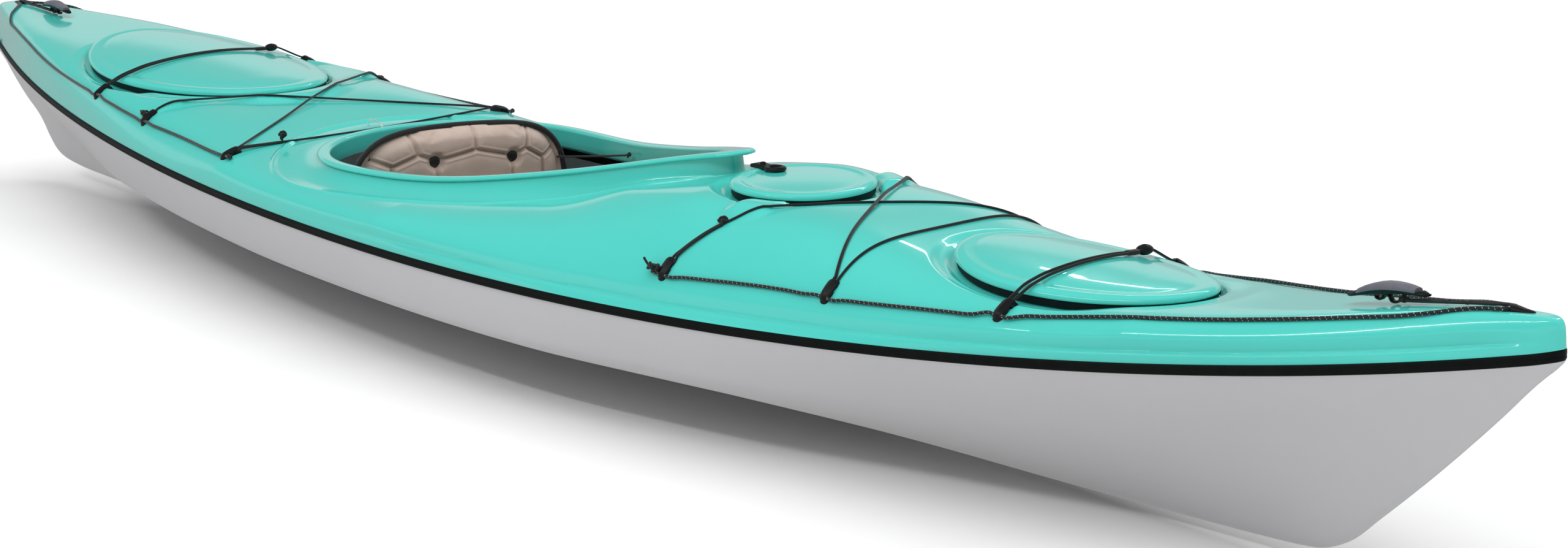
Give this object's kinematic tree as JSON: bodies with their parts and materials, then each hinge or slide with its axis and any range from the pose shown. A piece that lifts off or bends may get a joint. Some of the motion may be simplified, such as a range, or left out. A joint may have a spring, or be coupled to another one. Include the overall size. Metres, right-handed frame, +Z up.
{
  "type": "sea kayak",
  "caption": "Decked sea kayak with hard-chine V hull, teardrop cockpit and padded backrest, oval and round deck hatches, deck lines, bungees, carry toggles and foot braces.",
  "frame": {"origin": "under the middle of the boat at keel height, centre of the bounding box bottom", "axes": "+X towards the bow, +Y to port, +Z up"},
  "size_m": [3.9152, 0.6566, 0.3707],
  "materials": {
    "deck_teal": "gloss",
    "hull_grey": "gloss",
    "trim_black": "satin",
    "fitting_black": "satin",
    "inner_plastic": "matt",
    "cord_black": "braided",
    "seat_fabric": "embossed fabric",
    "toggle_grey": "satin",
    "clear_loop": "clear plastic"
  },
  "bodies": {
    "boat": {"hull_shell": "hull_grey", "deck_shell": "deck_teal", "seam_strip": "trim_black", "cockpit_coaming": "deck_teal", "bow_hatch_collar": "trim_black", "stern_hatch_collar": "trim_black", "day_hatch_collar": "trim_black", "day_hatch_pod": "inner_plastic", "fore_bulkhead": "hull_grey", "aft_bulkhead": "hull_grey", "seat_rail": "inner_plastic", "seat_pan": "inner_plastic", "seat_cushion": "seat_fabric", "backrest_cord_port": "cord_black", "backrest_cord_starboard": "cord_black", "thigh_pad_port": "inner_plastic", "thigh_pad_starboard": "inner_plastic", "foot_rail_port": "inner_plastic", "foot_rail_starboard": "inner_plastic", "deck_fitting_a_port": "fitting_black", "deck_fitting_a_starboard": "fitting_black", "deck_fitting_b_port": "fitting_black", "deck_fitting_b_starboard": "fitting_black", "deck_fitting_c_port": "fitting_black", "deck_fitting_c_starboard": "fitting_black", "deck_fitting_d_port": "fitting_black", "deck_fitting_d_starboard": "fitting_black", "deck_fitting_e_port": "fitting_black", "deck_fitting_e_starboard": "fitting_black", "deck_fitting_f_port": "fitting_black", "deck_fitting_f_starboard": "fitting_black", "bow_end_fitting": "fitting_black", "stern_end_fitting": "fitting_black", "fore_deck_line_port": "cord_black", "fore_deck_line_starboard": "cord_black", "aft_deck_line_port": "cord_black", "aft_deck_line_starboard": "cord_black", "fore_deck_bungee": "cord_black", "aft_deck_bungee": "cord_black", "bungee_guide_loop": "clear_loop", "bow_toggle_keeper": "fitting_black", "stern_toggle_keeper": "fitting_black"},
    "bow_cover": {"bow_hatch_cover": "deck_teal"},
    "stern_cover": {"stern_hatch_cover": "deck_teal"},
    "day_cover": {"day_hatch_cover": "deck_teal"},
    "pull_ring": {"day_hatch_pull_ring": "trim_black"},
    "bow_strap": {"bow_hatch_strap": "cord_black", "bow_hatch_strap_hook": "fitting_black"},
    "stern_strap": {"stern_hatch_strap": "cord_black", "stern_hatch_strap_hook": "fitting_black"},
    "backrest": {"backrest_pad": "seat_fabric", "backrest_frame": "inner_plastic", "backrest_button_port": "fitting_black", "backrest_button_starboard": "fitting_black"},
    "pedal_port": {"foot_pedal_port": "fitting_black"},
    "pedal_starboard": {"foot_pedal_starboard": "fitting_black"},
    "bow_toggle": {"bow_toggle_grip": "toggle_grey", "bow_toggle_cord": "cord_black"},
    "stern_toggle": {"stern_toggle_grip": "toggle_grey", "stern_toggle_cord": "cord_black"}
  },
  "joints": [
    {"name": "bow_cover_lift", "type": "slide", "parent": "boat", "child": "bow_cover", "axis": [0, 0, 1], "range_m": [0, 0.05]},
    {"name": "stern_cover_lift", "type": "slide", "parent": "boat", "child": "stern_cover", "axis": [0, 0, 1], "range_m": [0, 0.05]},
    {"name": "day_cover_lift", "type": "slide", "parent": "boat", "child": "day_cover", "axis": [0, 0, 1], "range_m": [0, 0.06]},
    {"name": "pull_ring_hinge", "type": "hinge", "parent": "day_cover", "child": "pull_ring", "pos_m": [0.569, 0, 0.343], "axis": [0, -1, 0], "range_deg": [0, 45]},
    {"name": "bow_strap_swing", "type": "hinge", "parent": "boat", "child": "bow_strap", "pos_m": [1.243, -0.1732, 0.2698], "axis": [1, 0, 0], "range_deg": [0, 96]},
    {"name": "stern_strap_swing", "type": "hinge", "parent": "boat", "child": "stern_strap", "pos_m": [-1.058, -0.2258, 0.2813], "axis": [1, 0, 0], "range_deg": [0, 110]},
    {"name": "backrest_recline", "type": "hinge", "parent": "boat", "child": "backrest", "pos_m": [-0.206, 0, 0.09], "axis": [0, 1, 0], "range_deg": [-6, 16]},
    {"name": "pedal_port_slide", "type": "slide", "parent": "boat", "child": "pedal_port", "axis": [0.9844, -0.1761, 0], "range_m": [-0.12, 0.12]},
    {"name": "pedal_starboard_slide", "type": "slide", "parent": "boat", "child": "pedal_starboard", "axis": [0.9844, 0.1761, 0], "range_m": [-0.12, 0.12]},
    {"name": "bow_toggle_swing", "type": "hinge", "parent": "boat", "child": "bow_toggle", "pos_m": [1.886, 0, 0.3663], "axis": [0, 1, 0], "range_deg": [0, 100]},
    {"name": "stern_toggle_swing", "type": "hinge", "parent": "boat", "child": "stern_toggle", "pos_m": [-1.828, 0, 0.35], "axis": [0, -1, 0], "range_deg": [0, 100]}
  ],
  "couplings": [
    {"joint": "bow_strap_swing", "follows": "bow_cover_lift", "rad_per_m": 33.3},
    {"joint": "stern_strap_swing", "follows": "stern_cover_lift", "rad_per_m": 38}
  ]
}
